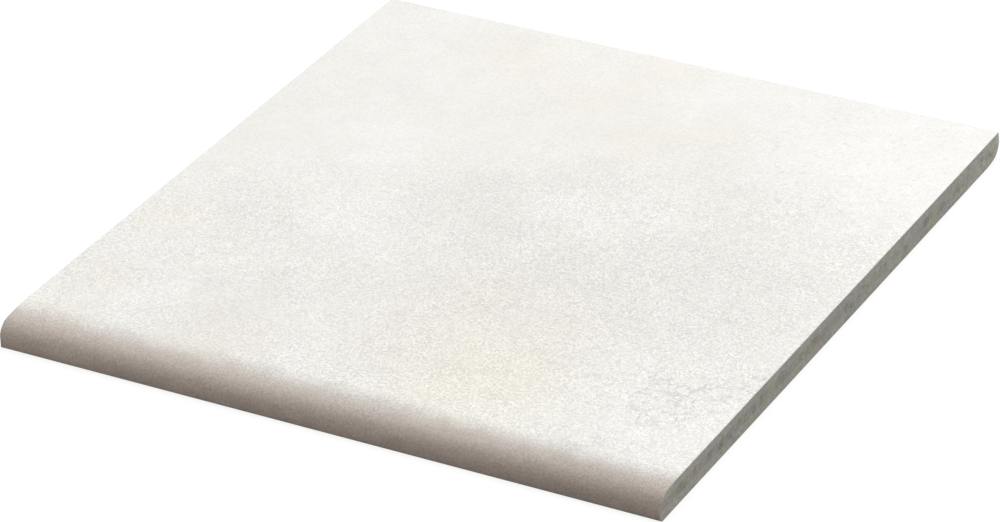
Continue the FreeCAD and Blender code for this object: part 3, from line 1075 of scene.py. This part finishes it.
# %% [markdown]
# ## What the kiln does to the clay
# Heat reaches the skin of a slab before its middle, so a broken or bare edge shows bands: paler near the top
# and the foot, and a darker core between them. The core is darkest towards the nose and is gone near the
# back, and the back edge itself is paler. Each band is a share by height or by depth, times a tone.

# %% Bands through the thickness
TOP_TONE = (1.008, 1.032, 1.050)
CORE_TONE = (0.845, 0.842, 0.824)
FOOT_TONE = (1.021, 1.029, 1.048)
# From front to back the core is full, then weaker, and then fades until it is gone.
CORE_FULL, CORE_WEAKER = -0.035, 0.010
CORE_FADES, CORE_GONE = 0.110, 0.145
WEAKER_SHARE = 0.38
core = body.between(sides.outputs["Y"], CORE_FULL, CORE_WEAKER, 1.0, WEAKER_SHARE)
core = body.calc("MULTIPLY", core, body.between(sides.outputs["Y"], CORE_FADES, CORE_GONE, 1.0, 0.0))
core_colour = body.tinted(core, colour, CORE_TONE)
top_colour = body.times(colour, TOP_TONE)
foot_colour = body.times(colour, FOOT_TONE)
colour = body.blend(near_foot, body.blend(near_top, core_colour, top_colour), foot_colour)
print("bands through the thickness: top, core and foot")

# %% A paler back edge
PALER_FROM, PALER_TO, BACK_GAIN = 0.105, 0.162, 1.15
colour = body.times(colour, body.between(sides.outputs["Y"], PALER_FROM, PALER_TO, 1.0, BACK_GAIN))
print(f"back edge: {BACK_GAIN:.2f} times as bright")

# %% [markdown]
# ## Grit and iron specks
# Pressed clay is dust and grit squeezed together, so its surface is cloudy from a few millimetres down to
# single grains. Two noises multiply the colour, the wide one at half strength where the clay is calm. The
# iron specks are small dots, one in most cells of a net that has been pushed about.

# %% Clouds and grit in the clay
CLAY_CLOUD_SIZE = 0.0046
CLAY_CLOUD_DARK, CLAY_CLOUD_LIGHT = 0.895, 1.10
CALM_LOSS = 0.5
GRIT_SIZE = 0.0011
GRIT_DARK, GRIT_LIGHT = 0.838, 1.158
cloudy = body.lumps(CLAY_CLOUD_SIZE, 2.0, 0.6)
cloudy = body.between(cloudy, 0.32, 0.68, CLAY_CLOUD_DARK, CLAY_CLOUD_LIGHT)
cloudy = body.blend(body.calc("MULTIPLY", calm, CALM_LOSS), cloudy, WHITE)
colour = body.times(colour, cloudy)
gritty = body.lumps(GRIT_SIZE, 2.0, 0.7)
colour = body.times(colour, body.swing(gritty, GRIT_DARK, GRIT_LIGHT))
print(f"clouds of {CLAY_CLOUD_SIZE / MM:.1f} mm and grit of {GRIT_SIZE / MM:.1f} mm")

# %% Iron specks
SPECK_SPACING = 0.0046
SPECK_EDGE, SPECK_CORE, SPECK_SHARE = 0.22, 0.06, 0.42
SCATTER = (0.0012, 0.0006)
scattered = body.wander(body.place, *SCATTER)
specks = body.between(body.net(scattered, SPECK_SPACING), SPECK_EDGE, SPECK_CORE, 0.0, SPECK_SHARE)
colour = body.blend(specks, colour, IRON)
print(f"iron specks, one in about {SPECK_SPACING / MM:.1f} mm")

# %% [markdown]
# ## Kiln wash on the ribs
# The ribs of the underside carry a thin white kiln wash, which keeps a tile from sticking to the rollers of
# the kiln and rubs off unevenly. Only the ribs touch the rollers, so the wash goes by height: it lies on the
# lowest quarter of a millimetre, and a noise rubs it away in places.

# %% Wash on the ribs, and the surface of the clay
KILN_WASH = (0.740, 0.730, 0.700)
WASH_GONE, WASH_FULL = 0.00025, 0.00005
WASH_SIZE, WASH_LEAST, WASH_MOST = 0.010, 0.15, 0.85
GRIT_HEIGHT = 0.00004
CLAY_ROUGHNESS = 0.88
on_ribs = body.between(sides.outputs["Z"], WASH_GONE, WASH_FULL)
rubbed = body.between(body.lumps(WASH_SIZE, 4.0, 0.65), 0.36, 0.60, WASH_LEAST, WASH_MOST)
colour = body.blend(body.calc("MULTIPLY", on_ribs, rubbed), colour, KILN_WASH)
body.close(colour, CLAY_ROUGHNESS, body.calc("MULTIPLY", gritty, GRIT_HEIGHT))
print("body nodes:", len(body.tree.nodes))

# %% [markdown]
# ## Dressing the tile
# Every face already holds the number of its finish, so the mesh only needs the two materials in that order.
# The skin then rides with the tile's body and replaces the plain CAD mesh, which is hidden.

# %% Give the finishes to the tile
tile_mesh.materials.append(glaze.material)
tile_mesh.materials.append(body.material)
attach(tile, "root")
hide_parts("bullnose_tile")
print("glazed faces:", finishes.count(GLAZE), " bare faces:", finishes.count(BODY))

# %% [markdown]
# ## Floor and light
# A plain pale floor and a wide soft lamp overhead, as in a product studio. The camera and the reflections
# see the floor and the sky as white. Every other ray sees them dimmer, so that they fill the shadows without
# lighting the tile past its real colour. From below the floor is clear, so that the underside can be seen.

# %% The floor
FLOOR_HALF = 6.0
floor_corners = [(sx * FLOOR_HALF, sy * FLOOR_HALF, 0.0) for sx, sy in ((-1, -1), (1, -1), (1, 1), (-1, 1))]
floor_mesh = bpy.data.meshes.new("studio_floor")
floor_mesh.from_pydata(floor_corners, [], [(0, 1, 2, 3)])
floor = bpy.data.objects.new("studio_floor", floor_mesh)
bpy.context.scene.collection.objects.link(floor)
print(f"floor: {2 * FLOOR_HALF:.0f} m square")

# %% White paper for the floor
PAPER_GLOW = 0.80
PAPER_SHADE = (0.22, 0.22, 0.22)
PAPER_BOUNCE = (0.42, 0.42, 0.42)
paper_material = bpy.data.materials.new("white_paper")
paper_material.use_nodes = True
paper = Tree(paper_material.node_tree)


def paper_shader(kind, **values):
    """A shader node of the paper with some of its sockets set, and what it gives."""
    node = paper.add(kind)
    for name, value in values.items():
        paper.feed(node.inputs[name], value)
    return node.outputs[0]


def paper_mix(kind, *parts):
    """A node that joins shaders, its sockets fed in order, and what it gives."""
    node = paper.add(kind)
    for socket, part in zip(node.inputs, parts):
        paper.feed(socket, part)
    return node.outputs[0]


glow = paper_shader("ShaderNodeEmission", Color=WHITE, Strength=PAPER_GLOW)
shadow_catch = paper_shader("ShaderNodeBsdfDiffuse", Color=PAPER_SHADE)
bounce = paper_shader("ShaderNodeBsdfDiffuse", Color=PAPER_BOUNCE)
white = paper_mix("ShaderNodeAddShader", glow, shadow_catch)
above = paper_mix("ShaderNodeMixShader", paper.seen_by_eye(), bounce, white)
from_below = paper.add("ShaderNodeNewGeometry").outputs["Backfacing"]
clear = paper_shader("ShaderNodeBsdfTransparent")
one_sided = paper_mix("ShaderNodeMixShader", from_below, above, clear)
paper.feed(paper.add("ShaderNodeOutputMaterial").inputs["Surface"], one_sided)
floor_mesh.materials.append(paper_material)
print("paper nodes:", len(paper.tree.nodes))

# %% The sky
SKY_FILL = 0.35
world = bpy.data.worlds.new("studio_sky")
bpy.context.scene.world = world
world.use_nodes = True
sky = Tree(world.node_tree)
strength = sky.add("ShaderNodeMapRange")
sky.feed(strength.inputs["Value"], sky.seen_by_eye())
sky.feed(strength.inputs["To Min"], SKY_FILL)
sky.feed(strength.inputs["To Max"], 1.0)
background = sky.add("ShaderNodeBackground")
sky.feed(background.inputs["Strength"], strength.outputs[0])
sky.feed(background.inputs["Color"], WHITE)
sky.feed(sky.add("ShaderNodeOutputWorld").inputs["Surface"], background.outputs[0])
print("sky nodes:", len(sky.tree.nodes))

# %% The lamp
LAMP_SIZE = 2.2
LAMP_PLACE = (0.25, 0.35, 2.4)
LAMP_POWER = 52.0
lamp_data = bpy.data.lights.new("overhead_softbox", "AREA")
lamp_data.shape = "SQUARE"
lamp_data.size = LAMP_SIZE
lamp_data.energy = LAMP_POWER
lamp = bpy.data.objects.new("overhead_softbox", lamp_data)
lamp.location = LAMP_PLACE
lamp.rotation_euler = (-lamp.location).to_track_quat("-Z", "Y").to_euler()
bpy.context.scene.collection.objects.link(lamp)
print(f"lamp: {LAMP_POWER:.0f} W over {LAMP_SIZE:.1f} m")

# %% [markdown]
# ## The camera
# The long lens and the place of the camera come from matching the tile's corners in the picture. Azimuth and
# elevation give the direction from the tile to the camera, and a small roll tilts the frame. The matrix's
# three columns are then simply the picture's right, its up, and the way back to the viewer.

# %% Where the camera stands
AZIMUTH, ELEVATION, ROLL = (math.radians(angle) for angle in (28.489, 29.245, -1.193))
DISTANCE = 2.02195
AIM = Vector((0.0, -0.015, 0.0))
AIM_RIGHT, AIM_UP = 0.000518, 0.001448

backward = Vector((
    math.sin(AZIMUTH) * math.cos(ELEVATION),
    -math.cos(AZIMUTH) * math.cos(ELEVATION),
    math.sin(ELEVATION),
))
level = Vector((math.cos(AZIMUTH), math.sin(AZIMUTH), 0.0))
upward = backward.cross(level)
picture_right = math.cos(ROLL) * level + math.sin(ROLL) * upward
picture_up = math.cos(ROLL) * upward - math.sin(ROLL) * level
eye = AIM + AIM_RIGHT * picture_right + AIM_UP * picture_up + DISTANCE * backward
print("camera at", [round(v, 4) for v in eye])

# %% Place the camera
LENS = 174.14
SENSOR_WIDTH = 36.0
camera_data = bpy.data.cameras.new("product_camera")
camera_data.lens = LENS
camera_data.sensor_width = SENSOR_WIDTH
camera = bpy.data.objects.new("product_camera", camera_data)
turned = Matrix((picture_right, picture_up, backward)).transposed()
camera.matrix_world = Matrix.Translation(eye) @ turned.to_4x4()
bpy.context.scene.collection.objects.link(camera)
bpy.context.scene.camera = camera
bpy.context.scene.view_settings.view_transform = "Standard"
print(f"lens: {LENS} mm on a sensor {SENSOR_WIDTH:.0f} mm wide")

# %% [markdown]
# ## Finishing
# The finished skin should fill the same box as the CAD solid.

# %% Finish
bpy.context.view_layer.update()
